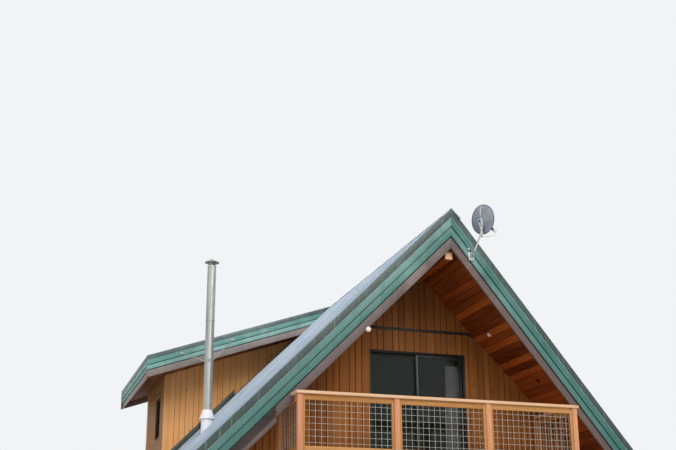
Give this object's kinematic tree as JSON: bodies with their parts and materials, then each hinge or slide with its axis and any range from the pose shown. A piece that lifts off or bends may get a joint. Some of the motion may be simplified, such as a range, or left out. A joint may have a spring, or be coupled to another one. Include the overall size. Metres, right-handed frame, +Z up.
{
  "type": "a-frame cabin",
  "caption": "Timber cabin with a steep gable roof, a pointed front overhang over a mesh-railed balcony, and a shed dormer beside a stove pipe.",
  "frame": {"origin": "on the ground, under the middle of the ridge", "axes": "+X to the right seen from the front, the front with the balcony looks towards -Y, +Z up"},
  "size_m": [10.4, 11.4792, 7.87],
  "materials": {
    "concrete": "cast concrete, matt",
    "siding": "stained cedar boards, satin",
    "framing_wood": "sawn softwood",
    "lining_wood": "dark red-brown oiled boards",
    "roof_metal": "grey-blue painted sheet, weathered",
    "dark_trim": "near-black green sheet",
    "green_paint": "green painted boards, satin",
    "brown_paint": "mauve-brown painted boards",
    "redwood": "oiled redwood",
    "wire": "galvanised wire",
    "bronze_frame": "dark bronze anodised",
    "glass": "clear glass",
    "pipe_steel": "galvanised, dull",
    "flashing": "pale sheet metal",
    "dish_grey": "grey paint, matt",
    "plastic_white": "off-white plastic"
  },
  "bodies": {
    "root": {"foundation_slab": "concrete", "upper_floor": "framing_wood", "side_walls": "siding", "lower_front_wall": "siding", "upper_front_wall": "siding", "back_wall": "siding", "gable_belt_trim": "dark_trim", "left_roof": "roof_metal", "right_roof": "roof_metal", "ridge_cap": "roof_metal", "ridge_beam": "framing_wood", "rafters": "framing_wood", "soffit_linings": "lining_wood", "rake_edge_trim": "dark_trim", "rake_fascias": "green_paint", "barge_boards": "brown_paint", "back_rake_boards": "green_paint", "eave_fascias": "green_paint", "dormer_end_walls": "siding", "dormer_outer_wall": "siding", "dormer_roof": "roof_metal", "dormer_fascia": "green_paint", "dormer_barge_boards": "brown_paint", "dormer_edge_trim": "dark_trim", "wall_flashing": "dark_trim", "stove_pipe": "pipe_steel", "pipe_flashing": "flashing", "pipe_cap": "pipe_steel", "pipe_braces": "pipe_steel", "dish_reflector": "dish_grey", "dish_arm": "plastic_white", "dish_mast": "dish_grey", "balcony_deck": "redwood", "balcony_joists": "redwood", "balcony_posts": "redwood", "railing_posts": "redwood", "railing_cap": "redwood", "railing_frames": "redwood", "railing_mesh_front": "wire", "railing_mesh_sides": "wire", "door_frames": "bronze_frame", "door_glass": "glass", "window_frames": "bronze_frame", "window_glass": "glass", "soffit_lights": "plastic_white"}
  },
  "joints": []
}
